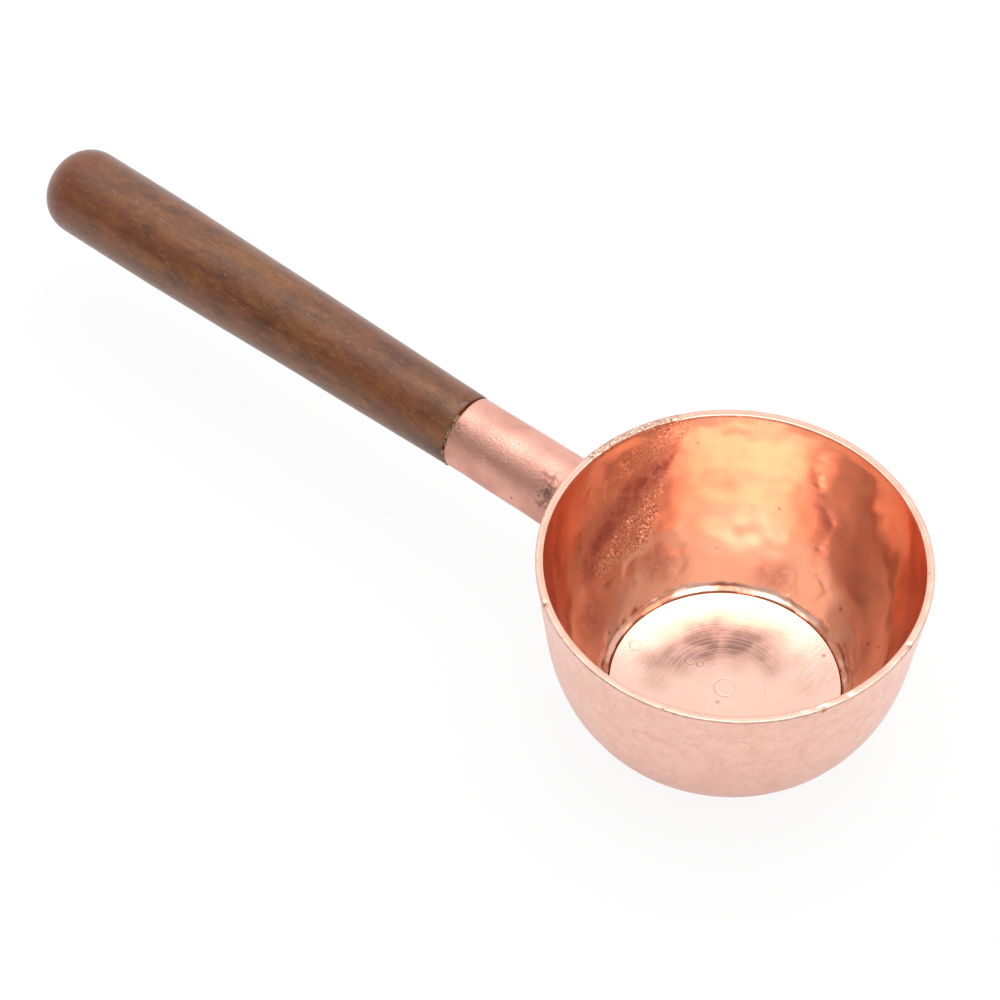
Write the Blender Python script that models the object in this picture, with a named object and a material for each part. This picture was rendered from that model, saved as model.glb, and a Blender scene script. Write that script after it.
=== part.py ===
# Coffee scoop: a hammered copper cup, a copper ferrule brazed to its side, and a turned wooden handle
# glued into the ferrule. Metres, +Z up. The cup stands on z = 0 with its axis on Z; the handle lies
# along -X. The scoop is rigid: nothing on it moves.
import math

import bmesh
import bpy

# Cup
CUP_RIM_RADIUS = 0.0300
CUP_HEIGHT = 0.0320
CUP_WALL = 0.0012
BASE_FLAT_RADIUS = 0.0160     # the part of the base that touches the table
WALL_FLARE = 0.0016           # the rim stands out past the corner by this much
CORNER_UP = 0.0220            # height of the elliptical corner between base and wall
FLOOR_RADIUS = 0.01785        # turned floor inside the cup
FLOOR_THICKNESS = 0.0010      # at the middle
FLOOR_DISH = 0.0006           # the floor's edge above its middle
FOOT_RUN = 0.0014             # from the floor's edge out to the foot of the inner wall
FOOT_RISE = 0.0011            # and up to it
FOOT_SLOPE = math.radians(49)  # slope of the inner wall at its foot
LIP_SLOPE = math.radians(82)   # slope of the inner wall at the lip

# Ferrule
HANDLE_DROP = 0.0088          # handle axis below the rim
FERRULE_LENGTH = 0.0226       # along the axis, from the cup's wall to the open mouth
FERRULE_ROOT_RADIUS = 0.0061
FERRULE_MOUTH_RADIUS = 0.0059
FERRULE_WALL = 0.0010

# Braze
BRAZE_LEG = 0.0010            # along the wall and along the ferrule

# Handle
GRIP_LENGTH = 0.0843          # wood in sight, from the shoulder to the tip
GRIP_SHOULDER_RADIUS = 0.00605
GRIP_RADIUS = 0.0071
GRIP_TAPER_LENGTH = 0.0600    # from the shoulder to the full radius
GRIP_END_ROUND = 0.0066       # axial length of the rounded tip
TENON_LENGTH = 0.0180

# Fits
FIT_GAP = 0.0003              # between pieces that touch
GLUE_FILM = 0.0004

# Mesh resolution
CUP_STEPS = 72
ROUND_STEPS = 40
CURVE_POINTS = 10
FLOOR_RINGS = 5
FILLET_POINTS = 4
SHARP_ANGLE = math.radians(35)

CORNER_ACROSS = CUP_RIM_RADIUS - BASE_FLAT_RADIUS - WALL_FLARE
HANDLE_HEIGHT = CUP_HEIGHT - HANDLE_DROP


def material(name, colour, metallic, roughness):
    made = bpy.data.materials.new(name)
    made.use_nodes = True
    shader = made.node_tree.nodes["Principled BSDF"]
    shader.inputs["Base Color"].default_value = (*colour, 1.0)
    shader.inputs["Metallic"].default_value = metallic
    shader.inputs["Roughness"].default_value = roughness
    made.diffuse_color = (*colour, 1.0)
    return made


def add_object(name, bm, surface, height=0.0):
    bmesh.ops.recalc_face_normals(bm, faces=bm.faces)
    mesh = bpy.data.meshes.new(name)
    bm.to_mesh(mesh)
    bm.free()
    mesh.shade_smooth()
    mesh.set_sharp_from_angle(angle=SHARP_ANGLE)
    mesh.materials.append(surface)
    made = bpy.data.objects.new(name, mesh)
    made.location.z = height
    bpy.context.scene.collection.objects.link(made)
    return made


def lathe(outline, axis, steps, closed=False):
    bm = bmesh.new()
    verts = [bm.verts.new(point) for point in outline]
    pairs = list(zip(verts, verts[1:]))
    if closed:
        pairs.append((verts[-1], verts[0]))
    edges = [bm.edges.new(pair) for pair in pairs]
    bmesh.ops.spin(bm, geom=verts + edges, cent=(0, 0, 0), axis=axis, dvec=(0, 0, 0),
                   angle=2 * math.pi, steps=steps, use_merge=True)
    bmesh.ops.remove_doubles(bm, verts=bm.verts, dist=1e-6)
    return bm


def tangent_angle():
    # where a line from the rim touches the corner's ellipse, with heights scaled to make it a circle
    reach = CUP_RIM_RADIUS - BASE_FLAT_RADIUS
    rise = (CUP_HEIGHT - CORNER_UP) * CORNER_ACROSS / CORNER_UP
    return math.atan2(rise, reach) - math.acos(CORNER_ACROSS / math.hypot(reach, rise))


def corner_point(angle):
    return BASE_FLAT_RADIUS + CORNER_ACROSS * math.cos(angle), CORNER_UP * (1 + math.sin(angle))


def wall_radius(z):
    # outer radius of the cup at a height: the corner's ellipse, then the straight wall up to the rim
    radius, height = corner_point(tangent_angle())
    if z < height:
        part = max(-1.0, (z - CORNER_UP) / CORNER_UP)
        return BASE_FLAT_RADIUS + CORNER_ACROSS * math.sqrt(1.0 - part * part)
    return radius + (CUP_RIM_RADIUS - radius) * (z - height) / (CUP_HEIGHT - height)


def outer_wall():
    start, stop = -math.pi / 2, tangent_angle()
    corner = [corner_point(start + (stop - start) * i / CURVE_POINTS) for i in range(CURVE_POINTS + 1)]
    return corner + [(CUP_RIM_RADIUS, CUP_HEIGHT)]


def floor_height(radius):
    return FLOOR_THICKNESS + FLOOR_DISH * (radius / FLOOR_RADIUS) ** 3


def inner_wall():
    # a curve from the foot to the lip that leaves and arrives at the two slopes
    foot = FLOOR_RADIUS + FOOT_RUN, floor_height(FLOOR_RADIUS) + FOOT_RISE
    lip = CUP_RIM_RADIUS - CUP_WALL, CUP_HEIGHT
    run, rise = lip[0] - foot[0], lip[1] - foot[1]
    along = (run * math.sin(LIP_SLOPE) - rise * math.cos(LIP_SLOPE)) / math.sin(LIP_SLOPE - FOOT_SLOPE)
    bend = foot[0] + along * math.cos(FOOT_SLOPE), foot[1] + along * math.sin(FOOT_SLOPE)
    curve = []
    for i in range(CURVE_POINTS + 1):
        u = i / CURVE_POINTS
        curve.append([(1 - u) ** 2 * f + 2 * u * (1 - u) * b + u * u * e for f, b, e in zip(foot, bend, lip)])
    return curve


def make_cup(surface):
    rings = [FLOOR_RADIUS * i / FLOOR_RINGS for i in range(FLOOR_RINGS + 1)]
    floor = [(radius, floor_height(radius)) for radius in rings]
    outline = [(0.0, 0.0)] + outer_wall() + inner_wall()[::-1] + floor[::-1]
    bm = lathe([(radius, 0.0, z) for radius, z in outline], (0, 0, 1), CUP_STEPS)
    return add_object("cup", bm, surface)


def cope(verts):
    # pushes vertices made at x = 0 out past the cup's wall by the gap, along the handle's axis
    for vert in verts:
        reach = wall_radius(HANDLE_HEIGHT + vert.co.z) + FIT_GAP
        vert.co.x -= math.sqrt(reach * reach - vert.co.y * vert.co.y)


def mouth_x():
    return -(wall_radius(HANDLE_HEIGHT) + FERRULE_LENGTH)


def bore_radius():
    return FERRULE_MOUTH_RADIUS - FERRULE_WALL


def make_ferrule(surface):
    outline = [(0.0, FERRULE_ROOT_RADIUS), (mouth_x(), FERRULE_MOUTH_RADIUS),
               (mouth_x(), bore_radius()), (0.0, bore_radius())]
    bm = lathe([(x, 0.0, radius) for x, radius in outline], (1, 0, 0), ROUND_STEPS, closed=True)
    cope([vert for vert in bm.verts if vert.co.x > mouth_x() / 2])
    return add_object("ferrule", bm, surface, HANDLE_HEIGHT)


def make_braze(surface):
    # a hollow fillet in the corner between the ferrule and the wall, clear of both by the gap
    bore = FERRULE_ROOT_RADIUS + FIT_GAP
    outline = [(0.0, bore)]
    for i in range(FILLET_POINTS + 1):
        turn = math.pi / 2 * i / FILLET_POINTS
        outline.append((-BRAZE_LEG * (1 - math.cos(turn)), bore + BRAZE_LEG * (1 - math.sin(turn))))
    bm = lathe([(x, 0.0, radius) for x, radius in outline], (1, 0, 0), ROUND_STEPS, closed=True)
    cope(bm.verts)
    return add_object("braze_fillet", bm, surface, HANDLE_HEIGHT)


def glue_radius():
    return bore_radius() - FIT_GAP


def tenon_radius():
    return glue_radius() - GLUE_FILM - FIT_GAP


def make_glue(surface):
    inner = glue_radius() - GLUE_FILM
    back = mouth_x() + TENON_LENGTH - FIT_GAP
    outline = [(mouth_x(), glue_radius()), (back, glue_radius()), (back, inner), (mouth_x(), inner)]
    bm = lathe([(x, 0.0, radius) for x, radius in outline], (1, 0, 0), ROUND_STEPS, closed=True)
    return add_object("glue_sleeve", bm, surface, HANDLE_HEIGHT)


def make_handle(surface):
    shoulder = mouth_x() - FIT_GAP
    tenon_tip = shoulder + TENON_LENGTH
    dome = shoulder - GRIP_LENGTH + GRIP_END_ROUND
    outline = [(tenon_tip, 0.0), (tenon_tip, tenon_radius()), (shoulder, tenon_radius()),
               (shoulder, GRIP_SHOULDER_RADIUS), (shoulder - GRIP_TAPER_LENGTH, GRIP_RADIUS)]
    for i in range(CURVE_POINTS):
        turn = math.pi / 2 * i / CURVE_POINTS
        outline.append((dome - GRIP_END_ROUND * math.sin(turn), GRIP_RADIUS * math.cos(turn)))
    outline.append((dome - GRIP_END_ROUND, 0.0))
    bm = lathe([(x, 0.0, radius) for x, radius in outline], (1, 0, 0), ROUND_STEPS)
    return add_object("handle", bm, surface, HANDLE_HEIGHT)


def main():
    for old in list(bpy.data.objects):
        bpy.data.objects.remove(old)
    make_cup(material("hammered_copper", (0.90, 0.52, 0.40), 1.0, 0.25))
    make_ferrule(material("ferrule_copper", (0.86, 0.50, 0.39), 1.0, 0.32))
    make_braze(material("braze", (0.80, 0.55, 0.42), 1.0, 0.45))
    make_glue(material("dried_glue", (0.62, 0.45, 0.28), 0.0, 0.6))
    make_handle(material("turned_wood", (0.27, 0.12, 0.06), 0.0, 0.4))


main()
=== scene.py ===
import math
import random

import bmesh
import bpy
from mathutils import Matrix, Vector, noise


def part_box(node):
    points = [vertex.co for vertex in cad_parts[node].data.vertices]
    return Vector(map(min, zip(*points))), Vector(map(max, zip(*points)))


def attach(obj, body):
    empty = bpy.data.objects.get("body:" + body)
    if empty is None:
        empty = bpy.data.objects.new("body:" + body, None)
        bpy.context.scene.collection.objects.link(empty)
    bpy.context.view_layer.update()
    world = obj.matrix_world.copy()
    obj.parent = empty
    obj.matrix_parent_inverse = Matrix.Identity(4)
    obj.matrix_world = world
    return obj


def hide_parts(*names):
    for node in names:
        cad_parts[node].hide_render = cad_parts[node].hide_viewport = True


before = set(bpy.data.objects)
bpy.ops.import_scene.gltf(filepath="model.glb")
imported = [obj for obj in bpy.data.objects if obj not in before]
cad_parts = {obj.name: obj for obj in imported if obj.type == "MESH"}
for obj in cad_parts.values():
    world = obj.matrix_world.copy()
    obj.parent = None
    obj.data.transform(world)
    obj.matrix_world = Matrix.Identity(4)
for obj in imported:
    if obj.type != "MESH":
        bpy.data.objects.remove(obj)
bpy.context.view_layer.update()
print("frame loaded:", sorted(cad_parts))

mm = 0.001
noise.seed_set(7)       # without a seed, noise_vector differs from run to run


# shader helpers

def addNode(tree, kind, inputs=None, **settings):
    made = tree.nodes.new(kind)
    for key, value in settings.items():
        setattr(made, key, value)
    for key, value in (inputs or {}).items():
        if isinstance(value, bpy.types.NodeSocket):
            tree.links.new(value, made.inputs[key])
        else:
            made.inputs[key].default_value = value
    return made


def maths(tree, operation, first, second=0.0):
    return addNode(tree, "ShaderNodeMath", {0: first, 1: second}, operation=operation).outputs[0]


def times(tree, first, second):
    return maths(tree, "MULTIPLY", first, second)


def vectorMaths(tree, operation, inputs):
    made = addNode(tree, "ShaderNodeVectorMath", inputs, operation=operation)
    return made.outputs["Value" if operation in ("LENGTH", "DOT_PRODUCT") else "Vector"]


def mixColour(tree, factor, first, second, blend="MIX"):
    inputs = {0: factor, 6: first, 7: second}
    return addNode(tree, "ShaderNodeMix", inputs, data_type="RGBA", blend_type=blend).outputs[2]


def tint(tree, colour, mask, strength, target):
    return mixColour(tree, times(tree, mask, strength), colour, target)


def ramp(tree, factor, low, high, fromValue=0.0, toValue=1.0):
    made = addNode(tree, "ShaderNodeMapRange", interpolation_type="SMOOTHSTEP", inputs={
        "Value": factor, "From Min": low, "From Max": high, "To Min": fromValue, "To Max": toValue})
    return made.outputs["Result"]


def objectPoint(tree, scale=(1, 1, 1), shift=(0, 0, 0), turn=(0, 0, 0)):
    coords = addNode(tree, "ShaderNodeTexCoord")
    made = addNode(tree, "ShaderNodeMapping", {"Vector": coords.outputs["Object"], "Scale": scale,
                                               "Location": shift, "Rotation": turn})
    return made.outputs[0]


def noiseValue(tree, point, scale, detail=2.0, rough=0.5, distortion=0.0):
    made = addNode(tree, "ShaderNodeTexNoise", {"Vector": point, "Scale": scale, "Detail": detail,
                                                "Roughness": rough, "Distortion": distortion})
    return made.outputs[0]


def grainValue(tree, stretch, turn, scale, detail=2.0, rough=0.5, distortion=0.0):
    # noise drawn out along an axis and turned about Z
    point = objectPoint(tree, stretch, turn=(0, 0, turn))
    return noiseValue(tree, point, scale, detail, rough, distortion)


def attribute(tree, name):
    return addNode(tree, "ShaderNodeAttribute", attribute_name=name).outputs["Fac"]


def newMaterial(name):
    made = bpy.data.materials.new(name)
    made.use_nodes = True
    tree = made.node_tree
    return made, tree, tree.nodes["Principled BSDF"]


def bumpNormal(tree, height, strength, distance):
    inputs = {"Height": height, "Strength": strength, "Distance": distance}
    return addNode(tree, "ShaderNodeBump", inputs).outputs[0]


def setSurface(tree, shader, colour, rough, normal, metallic=0.0):
    tree.links.new(colour, shader.inputs["Base Color"])
    tree.links.new(rough, shader.inputs["Roughness"])
    tree.links.new(normal, shader.inputs["Normal"])
    shader.inputs["Metallic"].default_value = metallic


def newGroup(name, inputs, outputs):
    tree = bpy.data.node_groups.new(name, "ShaderNodeTree")
    for label, kind, value in inputs:
        socket = tree.interface.new_socket(label, in_out="INPUT", socket_type=kind)
        socket.default_value = value
    for label, kind in outputs:
        tree.interface.new_socket(label, in_out="OUTPUT", socket_type=kind)
    return tree, tree.nodes.new("NodeGroupInput").outputs, tree.nodes.new("NodeGroupOutput").inputs


# copper: mottled colour, dark specks and fine grain, shared by cup, ferrule and braze

def copperGroup():
    shade, number = "NodeSocketColor", "NodeSocketFloat"
    tree, given, out = newGroup(
        "copperSkin",
        [("Copper", shade, (0.955, 0.63, 0.52, 1)), ("Tarnish", shade, (0.5, 0.24, 0.17, 1)),
         ("Mottle", number, 0.2), ("Specks", number, 0.5), ("Grain", number, 0.5)],
        [("Colour", shade), ("Rough", number), ("Height", number)])
    point = objectPoint(tree)
    clouds = ramp(tree, noiseValue(tree, point, 140, 3, 0.55), 0.35, 0.7)
    dots = addNode(tree, "ShaderNodeTexVoronoi", {"Vector": point, "Scale": 330, "Randomness": 1.0})
    where = ramp(tree, noiseValue(tree, point, 210, 1), 0.56, 0.66)
    speck = times(tree, ramp(tree, dots.outputs["Distance"], 0.16, 0.08), where)
    speck = times(tree, speck, given["Specks"])
    colour = mixColour(tree, times(tree, clouds, given["Mottle"]), given["Copper"], given["Tarnish"])
    colour = mixColour(tree, speck, colour, given["Tarnish"])
    grain = times(tree, noiseValue(tree, point, 2600, 3, 0.6), given["Grain"])
    wear = maths(tree, "ADD", times(tree, clouds, 0.10), times(tree, speck, 0.3))
    tree.links.new(colour, out["Colour"])
    tree.links.new(wear, out["Rough"])
    tree.links.new(maths(tree, "SUBTRACT", grain, times(tree, speck, 0.3)), out["Height"])
    return tree


copperSkin = copperGroup()


def useCopper(tree, **values):
    made = addNode(tree, "ShaderNodeGroup", node_tree=copperSkin)
    for key, value in values.items():
        made.inputs[key].default_value = value
    return made.outputs


# mesh helpers

def angleGap(first, second):
    return abs((first - second + 180) % 360 - 180)


def smooth(low, high, value):
    share = min(1.0, max(0.0, (value - low) / (high - low)))
    return share * share * (3 - 2 * share)


def straight(start, stop, pitch):
    steps = max(1, round(math.dist(start, stop) / pitch))
    return [(start[0] + (stop[0] - start[0]) * i / steps, start[1] + (stop[1] - start[1]) * i / steps)
            for i in range(1, steps + 1)]


def bent(start, bend, stop, steps):
    # curve from start to stop that leaves and arrives along the lines to the bend
    shares = [i / steps for i in range(1, steps + 1)]
    return [tuple(start[k] * (1 - u) ** 2 + 2 * bend[k] * u * (1 - u) + stop[k] * u * u for k in (0, 1))
            for u in shares]


def spinOutline(points, axis, steps):
    # an eighth of a turn is spun, then doubled three times
    bm = bmesh.new()
    verts = [bm.verts.new(p) for p in points]
    edges = [bm.edges.new(pair) for pair in zip(verts, verts[1:])]
    bmesh.ops.spin(bm, geom=verts + edges, cent=(0, 0, 0), axis=axis, dvec=(0, 0, 0),
                   angle=math.pi / 4, steps=steps // 8)
    for turn in (math.pi / 4, math.pi / 2, math.pi):
        copied = bmesh.ops.duplicate(bm, geom=bm.verts[:] + bm.edges[:] + bm.faces[:])["geom"]
        copied = [item for item in copied if isinstance(item, bmesh.types.BMVert)]
        bmesh.ops.rotate(bm, verts=copied, cent=(0, 0, 0), matrix=Matrix.Rotation(turn, 3, axis))
    bmesh.ops.remove_doubles(bm, verts=bm.verts, dist=1e-6)
    bmesh.ops.recalc_face_normals(bm, faces=bm.faces)
    bm.normal_update()
    return bm


def addPiece(name, bm, material, node, sharpDegrees=40):
    mesh = bpy.data.meshes.new(name)
    bm.to_mesh(mesh)
    bm.free()
    mesh.shade_smooth()
    mesh.set_sharp_from_angle(angle=math.radians(sharpDegrees))
    mesh.materials.append(material)
    piece = bpy.data.objects.new(name, mesh)
    bpy.context.scene.collection.objects.link(piece)
    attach(piece, "root")
    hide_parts(node)
    print("made", name, len(mesh.polygons), "faces")


# cup: hammered outside, cast-looking inside, turned floor

cup = {
    "wall": 1.2 * mm, "baseFlat": 16.0 * mm, "flare": 1.6 * mm, "cornerUp": 22.0 * mm,
    "floorRadius": 17.85 * mm, "floorThickness": 0.9 * mm, "floorDish": 0.9 * mm,
    "groove": 0.22 * mm, "grooveWidth": 0.26 * mm,
    "coveSlope": 20.0, "coveIn": 0.75 * mm, "coveBend": 0.42 * mm, "footSlope": 51.0, "rimSlope": 82.0,
    "lipRound": 0.14 * mm, "lipDepth": 1.5 * mm, "lipWave": 0.06 * mm,
    "turns": 480, "pitch": 0.9 * mm, "innerPitch": 0.36 * mm, "floorRings": 20,
    "facet": 6.0 * mm, "facetSink": 0.08 * mm, "dentSize": 8.0 * mm, "dentSink": 0.11 * mm,
    "stray": 1.1 * mm, "straySize": 2.6 * mm,       # how far blisters and runs stray, and over what length
    "coveLumps": ((0.09 * mm, 3.0 * mm), (0.02 * mm, 0.9 * mm)),    # height, size
    # places round the rim, in degrees, where the lip is nicked: angle, half width, depth
    "nicks": ((-125.0, 0.8, 0.20 * mm), (7.5, 0.7, 0.20 * mm), (-26.8, 1.0, 0.16 * mm),
              (-17.9, 0.9, 0.07 * mm), (-32.6, 1.0, 0.07 * mm)),
    # blisters on the inner wall: angle, height, radius, rise
    "blisters": ((127.3, 27.0 * mm, 1.6 * mm, 0.02 * mm), (165.0, 7.2 * mm, 2.2 * mm, 0.055 * mm),
                 (148.0, 6.5 * mm, 1.7 * mm, 0.055 * mm), (100.4, 4.9 * mm, 1.5 * mm, 0.07 * mm),
                 (101.0, 3.4 * mm, 1.1 * mm, 0.06 * mm), (88.0, 5.2 * mm, 1.9 * mm, 0.06 * mm),
                 (93.8, 19.2 * mm, 0.8 * mm, 0.04 * mm), (90.0, 12.0 * mm, 0.8 * mm, 0.05 * mm),
                 (180.0, 10.4 * mm, 1.7 * mm, 0.05 * mm), (97.0, 25.0 * mm, 2.6 * mm, 0.025 * mm)),
    # runs in the metal of the inner wall: half width, rise, and the angles and heights passed through
    "runs": ((0.7 * mm, 0.025 * mm, ((149, 25 * mm), (151, 17 * mm), (156, 10 * mm), (156, 5 * mm))),
             (1.3 * mm, 0.05 * mm, ((99, 25 * mm), (91, 20 * mm), (88, 12 * mm), (86, 6 * mm))),
             (0.7 * mm, 0.04 * mm, ((169, 29 * mm), (182, 26 * mm), (188, 21 * mm)))),
    # tarnish and painted shade on the inner wall, the dark places standing in partly for dark reflections:
    # angle, height, half width, half height, strength
    "tarnishAndShade": ((95, 19 * mm, 2.8 * mm, 3.4 * mm, 0.55), (88, 16 * mm, 2.8 * mm, 4.0 * mm, 0.45),
                (76, 12.5 * mm, 4 * mm, 4 * mm, 0.30), (155, 7 * mm, 5 * mm, 3.2 * mm, 0.45),
                (108, 4.8 * mm, 4.0 * mm, 2.8 * mm, 0.45), (130, 19.5 * mm, 9 * mm, 2.5 * mm, 0.14),
                (122.5, 2.0 * mm, 3.4 * mm, 0.55 * mm, 0.70), (198, 7.5 * mm, 6 * mm, 4.5 * mm, 0.52)),
    # the cove is painted in shade except on these stretches
    "coveBright": ((103.5, 8.5), (143.5, 10.5)),    # bright stretches of the cove: angle, half width
    # dark band left of the back wall, with rough metal on both sides: first and last angle, their heights
    "bandStart": (153.0, 22.8 * mm), "bandStop": (193.0, 12.7 * mm), "bandHalf": 2.9 * mm, "bandDark": 0.88,
    # dull arc on the floor, and scratched places: x, y, radius, strength
    "stainAngle": 132.0, "stainHalf": 92.0, "stainRadius": 8.9 * mm, "stainWidth": 6.2 * mm,
    "hazes": ((8.4 * mm, 11.5 * mm, 6.5 * mm, 0.22), (-12.5 * mm, -4.0 * mm, 6.0 * mm, 0.15)),
    # scribed circles and small ring-shaped stains on the floor: x, y, radius, strength
    "rings": ((0.0, 0.0, 1.7 * mm, 0.40), (0.0, 0.0, 6.3 * mm, 0.08), (-5.8 * mm, 1.2 * mm, 0.7 * mm, 0.8),
              (-7.3 * mm, 0.7 * mm, 0.9 * mm, 0.6), (-15.4 * mm, -2.6 * mm, 1.1 * mm, 0.5)),
    "roughLip": (160.0, 18.0),                      # middle and half width of the rough part of the rim
    "copper": (0.985, 0.63, 0.51, 1), "tarnished": (0.58, 0.30, 0.23, 1),
    "insideTint": (1.0, 0.975, 0.93, 1), "outsideTint": (0.97, 0.96, 0.965, 1),
    "lowReflectionTint": (1.0, 0.93, 0.915, 1), "netTint": (0.62, 0.33, 0.25, 1), "cloudTint": (0.80, 0.44, 0.35, 1),
    "wornTint": (0.45, 0.28, 0.23, 1), "wallDullAndShade": (0.46, 0.155, 0.13, 1),
    "floorDull": (0.15, 0.085, 0.08, 1), "hatchTint": (0.36, 0.20, 0.165, 1),
    "coveShadeTint": (0.52, 0.19, 0.11, 1), "creaseShadeTint": (0.10, 0.045, 0.03, 1),
    "drawnTint": (0.20, 0.095, 0.06, 1), "burntTint": (0.34, 0.16, 0.09, 1),
}
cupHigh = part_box("cup")[1]
cup["rim"], cup["height"] = cupHigh.x, cupHigh.z


def outerCurve():
    # elliptical corner from the flat base up to where a line from the rim touches it
    across, up = cup["rim"] - cup["baseFlat"] - cup["flare"], cup["cornerUp"]
    reach, rise = cup["rim"] - cup["baseFlat"], (cup["height"] - up) * across / up
    stop = math.atan2(rise, reach) - math.acos(across / math.hypot(reach, rise))
    start = -math.pi / 2
    steps = int((across + up) * (stop - start) / 2 / cup["pitch"])
    turns = [start + (stop - start) * i / steps for i in range(steps + 1)]
    return [(cup["baseFlat"] + across * math.cos(a), up + up * math.sin(a)) for a in turns]


cornerPath = outerCurve()


def cupRadius(z):
    radius, height = cornerPath[-1]
    if z < height:
        part = (z - cup["cornerUp"]) / cup["cornerUp"]
        across = cup["rim"] - cup["baseFlat"] - cup["flare"]
        return cup["baseFlat"] + across * math.sqrt(max(0.0, 1 - part * part))
    return radius + (cup["rim"] - radius) * (z - height) / (cup["height"] - height)


def floorHeight(radius):
    return cup["floorThickness"] + cup["floorDish"] * (radius / cup["floorRadius"]) ** 3


def innerCurve():
    # groove round the floor, cove, and wall up to just under the lip
    edge = cup["floorRadius"], floorHeight(cup["floorRadius"])
    low, high, cove = (math.radians(cup[k]) for k in ("footSlope", "rimSlope", "coveSlope"))
    start = edge[0] + cup["grooveWidth"], edge[1]
    knee = start[0] + cup["coveIn"] * math.cos(cove), start[1] + cup["coveIn"] * math.sin(cove)
    bend = knee[0] + cup["coveBend"] * math.cos(cove), knee[1] + cup["coveBend"] * math.sin(cove)
    foot = bend[0] + cup["coveBend"] * math.cos(low), bend[1] + cup["coveBend"] * math.sin(low)
    head = cup["rim"] - cup["wall"], cup["height"] - cup["lipRound"]
    run, rise = head[0] - foot[0], head[1] - foot[1]
    along = (run * math.sin(high) - rise * math.cos(high)) / math.sin(high - low)
    belly = foot[0] + along * math.cos(low), foot[1] + along * math.sin(low)
    path = [(edge[0] + 0.5 * cup["grooveWidth"], edge[1] - cup["groove"]), start]
    path += straight(start, knee, 0.3 * mm) + bent(knee, bend, foot, 4)
    curveLength = math.hypot(run, rise) * 1.06
    return path + bent(foot, belly, head, int(curveLength / cup["innerPitch"]))


def cupOutline():
    top, lip, innerRim = cup["height"], cup["lipRound"], cup["rim"] - cup["wall"]
    path = [(0.0, 0.0)] + straight((0.0, 0.0), cornerPath[0], 2.5 * mm) + cornerPath[1:]
    path += straight(path[-1], (cup["rim"], top - 0.6 * mm), cup["pitch"])
    path += straight(path[-1], (cup["rim"], top - lip), 0.12 * mm)
    quarter = [math.pi / 2 * i / 3 for i in range(1, 4)]
    path += [(cup["rim"] - lip + lip * math.cos(a), top - lip + lip * math.sin(a)) for a in quarter]
    path += straight(path[-1], (innerRim + lip, top), 0.2 * mm)
    path += [(innerRim + lip - lip * math.sin(a), top - lip + lip * math.cos(a)) for a in quarter]
    path += innerCurve()[-2::-1]
    rings = cup["floorRings"]
    radii = [cup["floorRadius"] * (1 - i / rings) for i in range(rings + 1)]
    return path + [(r, floorHeight(r)) for r in radii]


def ringLine(tree, x, y, radius, strength):
    # thin broken circle drawn on the floor, the small ones wavy
    point = objectPoint(tree, (1, 1, 0), (-x, -y, 0))
    away = vectorMaths(tree, "LENGTH", {0: point})
    wave = 0.35 * mm if radius < 1.5 * mm else 0.05 * mm
    away = maths(tree, "ADD", away, times(tree, noiseValue(tree, point, 260, 2), wave))
    gap = maths(tree, "ABSOLUTE", maths(tree, "SUBTRACT", away, radius))
    line = ramp(tree, gap, 0.12 * mm, 0.04 * mm)
    broken = ramp(tree, noiseValue(tree, point, 180, 2), 0.38, 0.56, 0.25, 1.0)
    return times(tree, times(tree, line, broken), strength)


def hammerNet(tree, point):
    # faint net of creases between the hammer's blows
    drift = addNode(tree, "ShaderNodeTexNoise", {"Vector": point, "Scale": 150, "Detail": 2.0})
    swerve = vectorMaths(tree, "SUBTRACT", {0: drift.outputs["Color"], 1: (0.5, 0.5, 0.5)})
    moved = vectorMaths(tree, "MULTIPLY_ADD", {0: swerve, 1: (0.006, 0.006, 0.006), 2: point})
    cells = addNode(tree, "ShaderNodeTexVoronoi", {"Vector": moved, "Scale": 170, "Randomness": 1.0},
                    feature="DISTANCE_TO_EDGE")
    net = ramp(tree, cells.outputs["Distance"], 0.035, 0.0)
    return times(tree, net, ramp(tree, noiseValue(tree, point, 160, 2), 0.36, 0.60))


def sparkle(tree, point, normal, amount):
    # normal tilted at random from grain to grain
    grains = addNode(tree, "ShaderNodeTexVoronoi", {"Vector": point, "Scale": 5200, "Randomness": 1.0})
    tilt = vectorMaths(tree, "SUBTRACT", {0: grains.outputs["Color"], 1: (0.5, 0.5, 0.5)})
    tilt = vectorMaths(tree, "SCALE", {0: tilt, "Scale": amount})
    return vectorMaths(tree, "NORMALIZE", {0: vectorMaths(tree, "ADD", {0: normal, 1: tilt})})


cupMarks = ("inner", "floor", "patch", "stainAndShade", "lip", "creaseShade", "haze")


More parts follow.
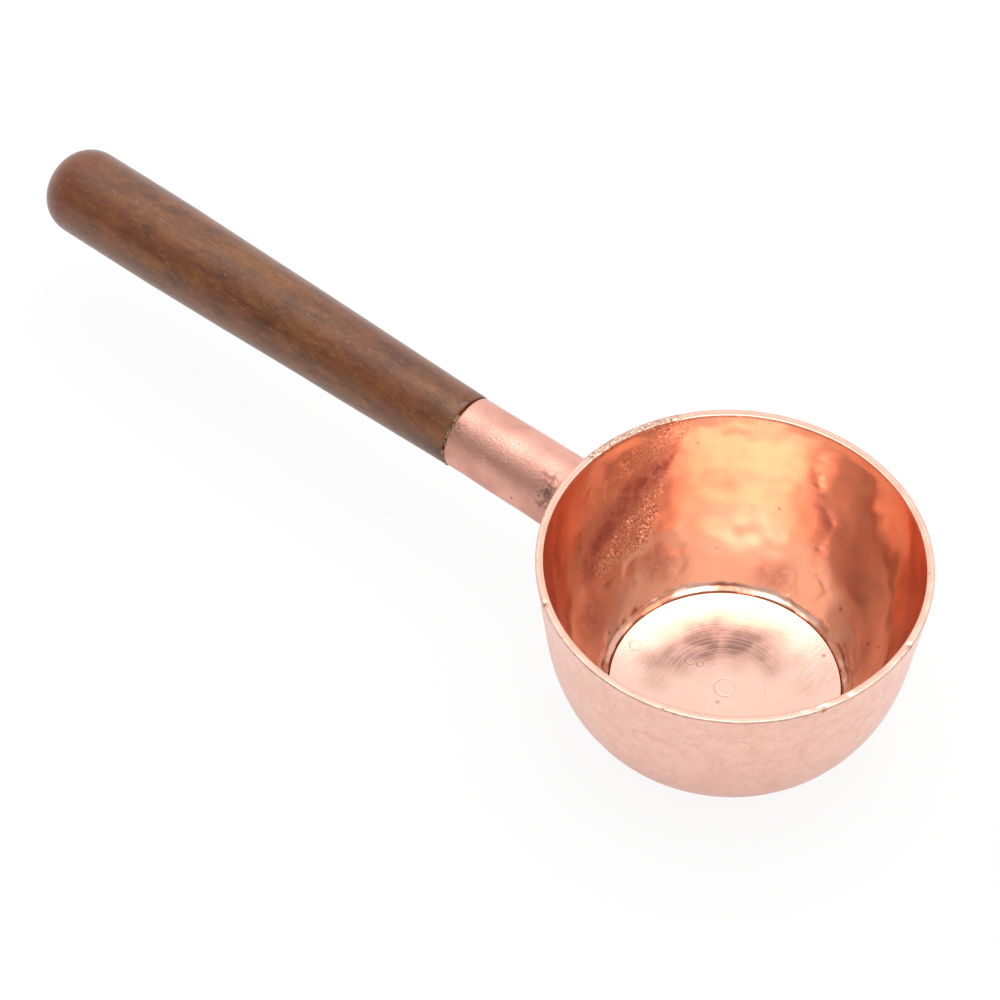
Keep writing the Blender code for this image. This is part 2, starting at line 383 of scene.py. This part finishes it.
def cupMaterial():
    material, tree, shader = newMaterial("hammeredCopper")
    inner, floor, patch, stainAndShade, lip, creaseShade, haze = (attribute(tree, name) for name in cupMarks)
    point = objectPoint(tree)
    outer = maths(tree, "SUBTRACT", 1.0, inner)
    onWall = maths(tree, "SUBTRACT", inner, floor)
    skin = useCopper(tree, Copper=cup["copper"], Tarnish=cup["tarnished"],
                     Mottle=0.07, Specks=1.0, Grain=0.4)
    colour = mixColour(tree, onWall, skin["Colour"], cup["insideTint"], "MULTIPLY")
    colour = mixColour(tree, outer, colour, cup["outsideTint"], "MULTIPLY")

    # hammered outside: creases, clouds, and a deeper colour low down that is painted reflection of the
    # shaded floor
    colour = tint(tree, colour, times(tree, hammerNet(tree, point), outer), 0.32, cup["netTint"])
    cloudy = ramp(tree, noiseValue(tree, point, 500, 4, 0.7), 0.38, 0.64)
    colour = tint(tree, colour, times(tree, cloudy, outer), 0.45, cup["cloudTint"])
    up = addNode(tree, "ShaderNodeSeparateXYZ", {0: point}).outputs["Z"]
    # painted reflection: deeper colour low down, where the outside mirrors the shaded floor
    low = times(tree, ramp(tree, up, 20 * mm, 4 * mm), outer)
    colour = mixColour(tree, low, colour, cup["lowReflectionTint"], "MULTIPLY")

    # turned floor with fine rings and a dull arc, and tarnish and painted shade on the wall
    away = vectorMaths(tree, "LENGTH", {0: objectPoint(tree, (1, 1, 0))})
    along = addNode(tree, "ShaderNodeCombineXYZ", {0: away}).outputs[0]
    turned = times(tree, noiseValue(tree, along, 3200, 2, 0.6), floor)
    streaks = ramp(tree, noiseValue(tree, along, 3900, 2, 0.6), 0.36, 0.62, 0.62, 1.0)
    blotch = ramp(tree, noiseValue(tree, point, 330, 3, 0.5), 0.34, 0.62, 0.70, 1.0)
    streaks = times(tree, times(tree, streaks, blotch), floor)
    cloud = ramp(tree, noiseValue(tree, point, 650, 4, 0.65), 0.34, 0.60, 0.45, 1.0)
    cloud = times(tree, cloud, maths(tree, "SUBTRACT", 1.0, floor))
    dullAndShade = times(tree, stainAndShade, maths(tree, "MAXIMUM", cloud, streaks))
    hatch = ramp(tree, grainValue(tree, (1, 0.03, 1), 0.6, 5200), 0.44, 0.60)
    worn = times(tree, floor, ramp(tree, away, 12.5 * mm, 15.5 * mm, 0.16, 0.06))
    worn = maths(tree, "MAXIMUM", worn, times(tree, lip, 0.9))
    colour = mixColour(tree, worn, colour, cup["wornTint"])
    colour = mixColour(tree, dullAndShade, colour, mixColour(tree, floor, cup["wallDullAndShade"], cup["floorDull"]))
    colour = mixColour(tree, times(tree, hatch, haze), colour, cup["hatchTint"])
    # painted shade in the cove, and darker painted shade in the crease round the floor
    colour = mixColour(tree, ramp(tree, creaseShade, 0.0, 0.5), colour, cup["coveShadeTint"])
    colour = mixColour(tree, ramp(tree, creaseShade, 0.55, 0.95), colour, cup["creaseShadeTint"])
    drawn = 0.0
    for ring in cup["rings"]:
        drawn = maths(tree, "MAXIMUM", drawn, ringLine(tree, *ring))
    drawn = times(tree, drawn, floor)
    colour = mixColour(tree, drawn, colour, cup["drawnTint"])

    # dark specks, thickest at the rim
    burnt = maths(tree, "ADD", noiseValue(tree, point, 1500, 3, 0.7), times(tree, lip, 0.5))
    colour = tint(tree, colour, ramp(tree, burnt, 0.76, 0.92), 0.75, cup["burntTint"])

    # coarse sparkling grain where the metal is rough
    height = maths(tree, "ADD", skin["Height"], times(tree, turned, 0.35))
    fine = bumpNormal(tree, maths(tree, "SUBTRACT", height, drawn), 0.25, 0.06 * mm)
    clumps = times(tree, patch, ramp(tree, noiseValue(tree, point, 320, 2), 0.34, 0.62, 0.15, 1.0))
    amount = maths(tree, "MAXIMUM", clumps, ramp(tree, lip, 0.35, 0.6, 0.0, 0.65))
    normal = sparkle(tree, point, fine, times(tree, amount, 0.55))
    rough = ramp(tree, inner, 0.0, 1.0, 0.27, 0.11)
    rough = maths(tree, "ADD", rough, times(tree, skin["Rough"], 0.7))
    rough = maths(tree, "ADD", rough, times(tree, dullAndShade, 0.30))
    rough = maths(tree, "SUBTRACT", rough, times(tree, floor, 0.04))
    setSurface(tree, shader, colour, rough, normal, metallic=1.0)
    return material


def castPatch(spot, angle):
    # how rough and how dark the wall is beside and on the band
    turn, half = angle % 360, cup["bandHalf"]
    (start, high), (stop, low) = cup["bandStart"], cup["bandStop"]
    middle = high + (low - high) * (turn - start) / (stop - start)
    ragged = 0.45 * noise.noise(spot / (3 * mm)) + 0.30 * noise.noise(spot / (0.9 * mm))
    across = (spot.z - middle) / half + ragged      # 0 on the band's middle, 1 at its edge
    edge = start - 5 + 0.9 * (high - spot.z) / mm
    ends = smooth(edge - 2, edge + 2, turn + 4 * ragged) * smooth(stop + 3, stop - 8, turn + 4 * ragged)
    below = smooth(0.3, -1.4, across) * smooth(9.0 * mm, 13 * mm, spot.z + ragged * mm)
    above = 0.30 * smooth(0.4, 1.6, across) * smooth(3.4, 2.0, across)
    dark = smooth(1.6, 0.1, abs(across))
    return ends * max(below, above), ends * dark


def wallRelief(spot, radius):
    # dents, blisters and runs of the inner wall, and lumps on the cove
    fade = smooth(0.0, 2 * mm, cup["height"] - spot.z) * smooth(1.9 * mm, 3.0 * mm, spot.z)
    swell = noise.noise(spot / cup["dentSize"]) + 0.3 * noise.noise(spot / (0.35 * cup["dentSize"]))
    shift = swell * cup["dentSink"]
    moved = spot + cup["stray"] * noise.noise_vector(spot / cup["straySize"])
    angle = math.degrees(math.atan2(moved.y, moved.x))
    worn = max(0.0, 0.5 + 1.7 * noise.noise(spot / cup["straySize"]))
    for where, height, size, rise in cup["blisters"]:
        away = math.hypot(math.radians(angleGap(angle, where)) * radius, moved.z - height)
        if away < 3 * size:
            shift += worn * rise * math.exp(-((away - size) / (0.40 * size)) ** 2)
    for half, rise, places in cup["runs"]:
        for start, stop in zip(places, places[1:]):
            if stop[1] <= moved.z < start[1]:
                where = start[0] + (stop[0] - start[0]) * smooth(start[1], stop[1], moved.z)
                away = math.radians(angleGap(angle, where)) * radius
                shift += worn * rise * math.exp(-(away / half) ** 2)
    lumps = sum(height * noise.noise(spot / size) for height, size in cup["coveLumps"])
    onCove = smooth(3.4 * mm, 2.6 * mm, spot.z) * smooth(0.3 * mm, 0.6 * mm, radius - cup["floorRadius"])
    return shift * fade + lumps * onCove


def outerRelief(spot, radius):
    # flats left by the hammer
    near = noise.voronoi((spot + 2 * mm * noise.noise_vector(spot / (7 * mm))) / cup["facet"])[0]
    fade = smooth(0.0, 4 * mm, radius - cup["baseFlat"]) * smooth(0.0, 1.5 * mm, cup["height"] - spot.z)
    flat = (near[0] * cup["facet"]) ** 2 / (2 * cup["rim"])
    return min(0.0, flat - cup["facetSink"]) * fade


def lipWear(angle, belowTop, outward):
    # how far the rim is worn down
    if belowTop > cup["lipDepth"]:
        return 0.0
    turn = math.radians(angle)
    wave = noise.noise(Vector((math.cos(turn), math.sin(turn), 0)) * 9)
    drop = cup["lipWave"] * (1 + wave)
    drop += outward * sum(depth * math.exp(-(angleGap(angle, where) / half) ** 2)
                          for where, half, depth in cup["nicks"])
    return drop * (1 - belowTop / cup["lipDepth"])


def lipMark(angle, belowTop, outward):
    # how dark and rough the rim is: its top, the line just under it, the rough stretch and the nicks
    middle, half = cup["roughLip"]
    top = smooth(0.2 * mm, 0.1 * mm, belowTop)
    under = smooth(0.5 * mm, 0.3 * mm, belowTop) * smooth(0.05 * mm, 0.15 * mm, belowTop)
    rough = smooth(1.15, 0.8, angleGap(angle, middle) / half) * smooth(1.2 * mm, 0.4 * mm, belowTop)
    nick = max(math.exp(-(angleGap(angle, where) / width) ** 2) * min(1.0, depth / (0.18 * mm))
               for where, width, depth in cup["nicks"])
    nick *= outward * smooth(0.9 * mm, 0.4 * mm, belowTop)
    return max(0.3 * top, 0.6 * under, 0.6 * rough, nick)


# tarnish on the inner wall, partly painted shade for darker reflections
def wallTarnishAndShade(spot, radius, angle):
    dark = 0.0
    for where, height, half, rise, strength in cup["tarnishAndShade"]:
        away = math.hypot(math.radians(angleGap(angle, where)) * radius / half, (spot.z - height) / rise)
        dark = max(dark, strength * smooth(1.2, 0.2, away + 0.35 * noise.noise(spot / (3 * mm))))
    return dark


def creaseShadeMark(spot, radius, angle):
    # painted shade: a dark crease round the floor, and a cove painted brown in shade except on the
    # stretches where it is bright
    out = (radius - cup["floorRadius"]) / cup["grooveWidth"]
    ragged = 0.4 * noise.noise(spot / (1.5 * mm))
    bright = max(smooth(1.4, 0.6, angleGap(angle, where) / half + ragged)
                 for where, half in cup["coveBright"])
    uneven = out + 1.6 * noise.noise(spot / (1.3 * mm)) + 1.2 * noise.noise(spot / (4 * mm))
    patchy = 0.4 + 0.6 * smooth(-0.35, 0.25, noise.noise(spot / (3.5 * mm) + Vector((5, 0, 0))))
    brown = smooth(7.0, 4.4, uneven) * (1 - bright * smooth(6.2, 4.0, uneven))
    return max(smooth(1.6, 0.6, out), 0.5 * patchy * brown)


def floorMarks(spot, radius, angle):
    # strength of the dull arc and of the scratches
    across = abs(radius - cup["stainRadius"]) / cup["stainWidth"]
    around = angleGap(angle, cup["stainAngle"]) / cup["stainHalf"]
    ragged = 0.3 * noise.noise(spot / (4 * mm))
    arc = smooth(1.1, 0.2, across + ragged) * smooth(1.1, 0.3, around + ragged)
    hazes = (strength * smooth(1.2, 0.3, math.dist(spot.xy, (x, y)) / size + ragged)
             for x, y, size, strength in cup["hazes"])
    return arc, max(hazes)


def makeCup():
    bm = spinOutline([(r, 0.0, z) for r, z in cupOutline()], (0, 0, 1), cup["turns"])
    marks = {name: bm.verts.layers.float.new(name) for name in cupMarks}
    moves = []
    for vert in bm.verts:
        spot = vert.co.copy()
        radius, angle = math.hypot(spot.x, spot.y), math.degrees(math.atan2(spot.y, spot.x))
        belowTop = cup["height"] - spot.z
        inside = radius < cupRadius(spot.z) - 0.5 * cup["wall"] and spot.z > 0.5 * cup["floorThickness"]
        onFloor = inside and radius < cup["floorRadius"] + 0.01 * mm
        outward = smooth(0.9 * mm, 0.3 * mm, cup["rim"] - radius)
        shift = 0.0
        if onFloor:
            vert[marks["floor"]] = 1.0
            vert[marks["stainAndShade"]], vert[marks["haze"]] = floorMarks(spot, radius, angle)
        elif inside:
            vert[marks["patch"]], band = castPatch(spot, angle)
            # painted shade of the crease and the cove
            vert[marks["creaseShade"]] = creaseShadeMark(spot, radius, angle)
            # dark marks of the wall: the band, tarnish and painted shade
            vert[marks["stainAndShade"]] = max(cup["bandDark"] * band, wallTarnishAndShade(spot, radius, angle))
            shift = wallRelief(spot, radius)
        elif radius > cup["baseFlat"]:
            shift = outerRelief(spot, radius)
        if belowTop < cup["lipDepth"]:
            vert[marks["lip"]] = lipMark(angle, belowTop, outward)
        vert[marks["inner"]] = 1.0 if inside else 0.0
        moves.append((vert, vert.normal * shift - Vector((0, 0, lipWear(angle, belowTop, outward)))))
    for vert, move in moves:
        vert.co += move
    addPiece("cup_shell", bm, cupMaterial(), "cup")


# ferrule: copper tube shaped to the cup's wall, rough where it was brazed

ferrule = {
    "rootRadius": 6.1 * mm, "mouthRadius": 5.9 * mm, "wall": 1.0 * mm, "edgeRound": 0.25 * mm,
    "gap": 0.1 * mm, "steps": 128, "rows": 60, "ripple": 0.05 * mm,
    # rough places: middle, spread, darkness and rise of the lumps
    "spots": ((Vector((-32.4, -4.1, 27.6)) * mm, 1.2 * mm, 1.3, 0.30 * mm),
              (Vector((-32.6, -5.4, 25.8)) * mm, 1.5 * mm, 0.75, 0.20 * mm),
              (Vector((-33.3, -2.6, 28.6)) * mm, 0.9 * mm, 0.0, 0.75 * mm),
              (Vector((-50.7, -3.4, 28.1)) * mm, 1.4 * mm, 0.75, 0.12 * mm),
              (Vector((-44.0, -4.6, 27.1)) * mm, 0.6 * mm, 0.6, 0.06 * mm),
              (Vector((-41.2, -4.0, 27.6)) * mm, 0.4 * mm, 0.7, 0.04 * mm)),
    "copper": (0.82, 0.425, 0.335, 1), "tarnished": (0.42, 0.20, 0.155, 1),
    "burntTint": (0.17, 0.085, 0.07, 1),
}
ferruleLow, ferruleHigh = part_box("ferrule")
ferrule["axis"] = (ferruleLow.z + ferruleHigh.z) / 2
ferrule["mouth"] = ferruleLow.x


def ferruleMaterial():
    material, tree, shader = newMaterial("ferruleCopper")
    skin = useCopper(tree, Copper=ferrule["copper"], Tarnish=ferrule["tarnished"],
                     Mottle=0.38, Specks=0.9, Grain=1.4)
    rough = attribute(tree, "rough")
    lumps = noiseValue(tree, objectPoint(tree), 1500, 3, 0.65)
    height = maths(tree, "ADD", skin["Height"], times(tree, lumps, 0.45))
    height = maths(tree, "ADD", height, times(tree, times(tree, lumps, rough), 3.0))
    burnt = ramp(tree, maths(tree, "ADD", lumps, times(tree, rough, 0.34)), 0.58, 0.98)
    colour = tint(tree, skin["Colour"], burnt, 0.85, ferrule["burntTint"])
    setSurface(tree, shader, colour, maths(tree, "ADD", 0.38, skin["Rough"]),
               bumpNormal(tree, height, 0.65, 0.08 * mm), metallic=1.0)
    return material


def wallReach(y, z):
    # distance from the cup's axis to its outer wall, along the handle, at a place across it
    radius = cupRadius(ferrule["axis"] + z)
    return math.sqrt(radius * radius - y * y)


def makeFerrule():
    mouth, edge = ferrule["mouth"], ferrule["edgeRound"]
    bore = ferrule["mouthRadius"] - ferrule["wall"]
    path = [(0.0, bore), (mouth + edge, bore), (mouth, bore + edge), (mouth, ferrule["mouthRadius"] - edge)]
    path += [(mouth + edge * (1 - math.sin(t)), ferrule["mouthRadius"] - edge * (1 - math.cos(t)))
             for t in (math.pi / 3, math.pi / 6, 0.0)]
    path += straight(path[-1], (0.0, ferrule["rootRadius"]), -mouth / ferrule["rows"])
    path.append((0.0, bore))
    bm = spinOutline([(x, 0.0, r) for x, r in path], (1, 0, 0), ferrule["steps"])
    roughMark = bm.verts.layers.float.new("rough")
    for vert in bm.verts:
        share = max(0.0, 1 - vert.co.x / mouth)      # 1 at the cup, 0 at the mouth
        reach = wallReach(vert.co.y, vert.co.z) + ferrule["gap"]
        vert.co.x = mouth * (1 - share) - reach * share
    bm.normal_update()
    for vert in bm.verts:
        if math.hypot(vert.co.y, vert.co.z) < bore + 2 * edge:
            continue
        spot = vert.co + Vector((0, 0, ferrule["axis"]))
        ripple = noise.noise(spot / (5 * mm)) * ferrule["ripple"]
        grain, dark = noise.fractal(spot / (0.9 * mm), 1.0, 2.0, 3), 0.0
        for place, spread, darkness, rise in ferrule["spots"]:
            near = math.exp(-((spot - place).length / spread) ** 2)
            ripple += near * (grain + 0.35) * rise
            dark += near * darkness
        vert[roughMark] = min(1.0, dark)
        vert.co += vert.normal * ripple
    bmesh.ops.translate(bm, verts=bm.verts, vec=(0, 0, ferrule["axis"]))
    addPiece("ferrule_tube", bm, ferruleMaterial(), "ferrule")


# braze: run of filler in the corner between ferrule and cup

braze = {
    "leg": 1.1 * mm, "rows": 10, "steps": 128, "ripple": 0.10 * mm, "rippleSize": 1.5 * mm,
    "underTube": 0.15 * mm, "skirt": 0.2 * mm, "intoWall": 0.05 * mm,
    "copper": (0.93, 0.61, 0.50, 1), "tarnished": (0.38, 0.20, 0.16, 1),
}


def brazeMaterial():
    material, tree, shader = newMaterial("brazeMetal")
    skin = useCopper(tree, Copper=braze["copper"], Tarnish=braze["tarnished"],
                     Mottle=0.40, Specks=1.0, Grain=1.0)
    setSurface(tree, shader, skin["Colour"], maths(tree, "ADD", 0.32, skin["Rough"]),
               bumpNormal(tree, skin["Height"], 0.5, 0.1 * mm), metallic=1.0)
    return material


def makeBraze():
    leg, inner = braze["leg"], ferrule["rootRadius"] - braze["underTube"]
    path = [(0.0, inner)]
    for i in range(braze["rows"] + 1):
        turn = math.pi / 2 * i / braze["rows"]
        path.append((-leg * (1 - math.cos(turn)), inner + braze["skirt"] + leg * (1 - math.sin(turn))))
    path += [(-leg, inner), (0.0, inner)]
    bm = spinOutline([(x, 0.0, r) for x, r in path], (1, 0, 0), braze["steps"])
    for vert in bm.verts:
        vert.co.x -= wallReach(vert.co.y, vert.co.z) - braze["intoWall"]
    bm.normal_update()
    for vert in bm.verts:
        spot = vert.co + Vector((0, 0, ferrule["axis"]))
        vert.co += vert.normal * noise.fractal(spot / braze["rippleSize"], 1.0, 2.0, 3) * braze["ripple"]
    bmesh.ops.translate(bm, verts=bm.verts, vec=(0, 0, ferrule["axis"]))
    addPiece("braze_seam", bm, brazeMaterial(), "braze_fillet")


# grip: turned wood, stained brown under a thin satin finish

grip = {
    "shoulderRadius": 6.05 * mm, "radius": 7.1 * mm, "taper": 60.0 * mm, "endRound": 6.3 * mm,
    "tenonRadius": 3.9 * mm, "tenon": 18.0 * mm, "shoulderEase": 0.35 * mm, "tipShort": 0.5 * mm,
    "steps": 96, "pitch": 2.5 * mm, "domeSteps": 20, "waver": 0.05 * mm, "waverSize": 14 * mm,
    "dark": (0.092, 0.025, 0.005, 1), "light": (0.218, 0.070, 0.013, 1), "gold": (0.330, 0.122, 0.016, 1),
    "redAndShade": (0.200, 0.046, 0.013, 1), "fleck": (0.070, 0.022, 0.010, 1), "pale": (0.420, 0.180, 0.060, 1),
    "scratch": (0.52, 0.33, 0.20, 1),
}
gripLow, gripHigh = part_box("handle")
grip["tip"] = gripLow.x + grip["tipShort"]
grip["shoulder"] = gripHigh.x - grip["tenon"]


def woodMaterial():
    material, tree, shader = newMaterial("turnedWood")
    tip, shoulder = grip["tip"], grip["shoulder"]
    clouds = grainValue(tree, (0.6, 1, 1), 0.0, 120, 3, 0.6, 0.6)
    mottle = grainValue(tree, (0.40, 1, 1), 0.12, 420, 5, 0.75, 0.2)
    gold = ramp(tree, grainValue(tree, (0.22, 1, 1), 0.10, 330, 3, 0.6), 0.50, 0.68)
    flecks = ramp(tree, grainValue(tree, (0.40, 1, 1), 0.14, 2300, 3, 0.65), 0.52, 0.70)
    pale = ramp(tree, grainValue(tree, (0.45, 1, 1), 0.08, 1900, 2, 0.6), 0.58, 0.72)
    around = grainValue(tree, (1, 0.10, 0.10), 0.0, 2300, 2, 0.6)      # marks of the lathe
    along = addNode(tree, "ShaderNodeSeparateXYZ", {0: objectPoint(tree)}).outputs["X"]
    colour = mixColour(tree, ramp(tree, mottle, 0.34, 0.66), grip["dark"], grip["light"])
    colour = tint(tree, colour, gold, 0.36, grip["gold"])
    redAndShade = times(tree, ramp(tree, clouds, 0.42, 0.68), 0.4)
    # painted shade: the wood is darkened and reddened towards the rounded tip, over the red clouds
    redAndShade = maths(tree, "MAXIMUM", redAndShade, ramp(tree, along, tip + 16 * mm, tip + 3 * mm, 0.0, 0.6))
    colour = mixColour(tree, redAndShade, colour, grip["redAndShade"])
    colour = tint(tree, colour, flecks, 0.50, grip["fleck"])
    colour = tint(tree, colour, pale, 0.34, grip["pale"])

    # short scratches near the shoulder
    slanted = objectPoint(tree, (1, 0.25, 0.25), turn=(0, 0.2, 0.3))
    scratch = ramp(tree, noiseValue(tree, slanted, 2600, 2, 0.5), 0.66, 0.72)
    scratch = times(tree, scratch, ramp(tree, along, shoulder - 16 * mm, shoulder))
    colour = tint(tree, colour, scratch, 0.35, grip["scratch"])
    height = maths(tree, "ADD", mottle, times(tree, around, 0.5))
    normal = bumpNormal(tree, maths(tree, "SUBTRACT", height, flecks), 0.22, 0.1 * mm)
    setSurface(tree, shader, colour, maths(tree, "ADD", 0.36, times(tree, mottle, 0.14)), normal)
    shader.inputs["Sheen Weight"].default_value = 0.30
    shader.inputs["Sheen Roughness"].default_value = 0.35
    shader.inputs["Coat Weight"].default_value = 0.16
    shader.inputs["Coat Roughness"].default_value = 0.30
    return material


def makeGrip():
    shoulder, ease, start = grip["shoulder"], grip["shoulderEase"], grip["shoulderRadius"]
    radius, endRound, steps = grip["radius"], grip["endRound"], grip["domeSteps"]
    dome, full = grip["tip"] + endRound, shoulder - grip["taper"]
    path = [(gripHigh.x, 0.0), (gripHigh.x, grip["tenonRadius"]), (shoulder, grip["tenonRadius"]),
            (shoulder, start - ease), (shoulder - 0.3 * ease, start - 0.3 * ease), (shoulder - ease, start)]
    path += straight(path[-1], (full, radius), grip["pitch"])
    path += straight(path[-1], (dome, radius), grip["pitch"])
    turns = [math.pi / 2 * i / steps for i in range(1, steps)]
    path += [(dome - endRound * math.sin(a) ** 0.9, radius * math.cos(a) ** 0.9) for a in turns]
    path.append((grip["tip"], 0.0))
    bm = spinOutline([(x, 0.0, r) for x, r in path], (1, 0, 0), grip["steps"])
    for vert in bm.verts:
        if vert.co.x < shoulder - ease:
            vert.co += vert.normal * noise.noise(vert.co / grip["waverSize"]) * grip["waver"]
    bmesh.ops.translate(bm, verts=bm.verts, vec=(0, 0, ferrule["axis"]))
    addPiece("wood_grip", bm, woodMaterial(), "handle")


# glue squeezed out of the seam between ferrule and wood

crumbs = {
    "count": 84, "size": (0.08 * mm, 0.36 * mm), "from": 112, "to": 300, "seed": 7,
    # depth below the ferrule's surface as a share of the size, and place along the seam
    "sunk": (0.1, 0.5), "scatter": (-0.15 * mm, 0.15 * mm),
    "dark": (0.12, 0.065, 0.035, 1), "pale": (0.42, 0.27, 0.16, 1),
}


def glueMaterial():
    material, tree, shader = newMaterial("driedGlue")
    tones = noiseValue(tree, objectPoint(tree), 1500, 3, 0.6)
    colour = mixColour(tree, tones, crumbs["dark"], crumbs["pale"])
    setSurface(tree, shader, colour, maths(tree, "ADD", 0.45, times(tree, tones, 0.2)),
               bumpNormal(tree, tones, 0.5, 0.1 * mm))
    return material


def makeCrumbs():
    draw = random.Random(crumbs["seed"])
    bm = bmesh.new()
    seam = (ferrule["mouth"] + grip["shoulder"]) / 2
    for i in range(crumbs["count"]):
        turn = math.radians(draw.uniform(crumbs["from"], crumbs["to"]))
        size = draw.uniform(*crumbs["size"])
        radius = ferrule["mouthRadius"] - draw.uniform(*crumbs["sunk"]) * size
        made = bmesh.ops.create_icosphere(bm, subdivisions=2, radius=size)["verts"]
        for vert in made:
            vert.co *= 1 + 0.5 * noise.noise(vert.co / (0.5 * size) + Vector((i * 3.7, 0, 0)))
        place = Vector((seam + draw.uniform(*crumbs["scatter"]), radius * math.cos(turn),
                        ferrule["axis"] + radius * math.sin(turn)))
        bmesh.ops.translate(bm, verts=made, vec=place)
    addPiece("glue_crumbs", bm, glueMaterial(), "glue_sleeve", 60)


# studio: white floor, soft light overhead, pale backdrop, dimmer room on the camera's side

studio = {
    "cameraPlace": Vector((0.284074, -0.430130, 0.676743)), "cameraTurn": (39.138, -1.0839, 38.7256),
    "lens": 198.0, "floorSize": 6.0, "floorDrop": 0.02 * mm, "shade": 0.10, "mirrorShade": 0.50,
    "backdropAngle": 127.4, "sides": 0.75, "backdrop": 1.12, "front": 0.66,
    # soft light overhead, a pale panel and two dark things in the room:
    # direction as angle and height, angles where the edge starts and ends, level
    "softbox": ((98.0, 81.0), (30.0, 12.0), 3.5), "rightPanel": ((24.0, 53.0), (27.0, 8.0), 1.10),
    "cameraShade": ((-62.0, 53.0), (15.0, 6.0), 0.41), "leftShade": ((-116.0, 22.0), (24.0, 6.0), 0.10),
}


def aim(degreesRound, degreesUp):
    turn, up = math.radians(degreesRound), math.radians(degreesUp)
    return Vector((math.cos(up) * math.cos(turn), math.cos(up) * math.sin(turn), math.sin(up)))


def makeFloor():
    bm = bmesh.new()
    bmesh.ops.create_grid(bm, x_segments=1, y_segments=1, size=studio["floorSize"] / 2)
    bmesh.ops.translate(bm, verts=bm.verts, vec=(0, 0, -studio["floorDrop"]))
    mesh = bpy.data.meshes.new("floor")
    bm.to_mesh(mesh)
    bm.free()
    floor = bpy.data.objects.new("floor", mesh)
    bpy.context.scene.collection.objects.link(floor)
    material, tree, shader = newMaterial("whiteFloor")
    shader.inputs["Base Color"].default_value = (0.93, 0.93, 0.93, 1)
    shader.inputs["Roughness"].default_value = 0.9
    path = addNode(tree, "ShaderNodeLightPath")
    seen = times(tree, path.outputs["Is Camera Ray"], 1 - studio["shade"])
    mirrored = times(tree, path.outputs["Is Glossy Ray"], 1 - studio["mirrorShade"])
    white = addNode(tree, "ShaderNodeEmission", {"Color": (1, 1, 1, 1), "Strength": 1.0})
    mixed = addNode(tree, "ShaderNodeMixShader", {0: maths(tree, "MAXIMUM", seen, mirrored),
                                                  1: shader.outputs[0], 2: white.outputs[0]})
    tree.links.new(mixed.outputs[0], tree.nodes["Material Output"].inputs["Surface"])
    mesh.materials.append(material)


def makeWorld():
    world = bpy.data.worlds.new("studio")
    bpy.context.scene.world = world
    world.use_nodes = True
    tree = world.node_tree
    towards = addNode(tree, "ShaderNodeTexCoord").outputs["Generated"]

    def cone(direction, edge):
        # 1 inside a cone round a direction, 0 outside, soft between the two angles
        facing = vectorMaths(tree, "DOT_PRODUCT", {0: towards, 1: aim(*direction)})
        return ramp(tree, facing, *(math.cos(math.radians(a)) for a in edge))

    def blend(mask, first, second):
        return addNode(tree, "ShaderNodeMix", {0: mask, 2: first, 3: second}).outputs[0]

    level = vectorMaths(tree, "MULTIPLY", {0: towards, 1: (1, 1, 0)})
    level = vectorMaths(tree, "NORMALIZE", {0: level})
    behind = vectorMaths(tree, "DOT_PRODUCT", {0: level, 1: aim(studio["backdropAngle"], 0)})
    light = blend(ramp(tree, behind, 0.0, 1.0), studio["sides"], studio["backdrop"])
    light = blend(ramp(tree, behind, 0.0, -1.0), light, studio["front"])
    for name in ("softbox", "rightPanel", "cameraShade", "leftShade"):
        direction, edge, value = studio[name]
        light = blend(cone(direction, edge), light, value)
    path = addNode(tree, "ShaderNodeLightPath")
    white = addNode(tree, "ShaderNodeBackground", {"Color": (1, 1, 1, 1), "Strength": 1.0})
    lit = addNode(tree, "ShaderNodeBackground", {"Color": (1, 1, 1, 1), "Strength": light})
    mixed = addNode(tree, "ShaderNodeMixShader", {0: path.outputs["Is Camera Ray"],
                                                  1: lit.outputs[0], 2: white.outputs[0]})
    tree.links.new(mixed.outputs[0], tree.nodes["World Output"].inputs["Surface"])


def makeCamera():
    data = bpy.data.cameras.new("photoCamera")
    data.lens, data.sensor_width = studio["lens"], 36.0
    camera = bpy.data.objects.new("photoCamera", data)
    camera.location = studio["cameraPlace"]
    camera.rotation_euler = [math.radians(a) for a in studio["cameraTurn"]]
    bpy.context.scene.collection.objects.link(camera)
    bpy.context.scene.camera = camera


makeCamera()
makeFloor()
makeWorld()
print("studio ready")
makeCup()
makeFerrule()
makeBraze()
makeGrip()
makeCrumbs()
bpy.context.scene.view_settings.view_transform = "Standard"
bpy.context.scene.cycles.glossy_bounces = 12        # light runs on round the polished wall
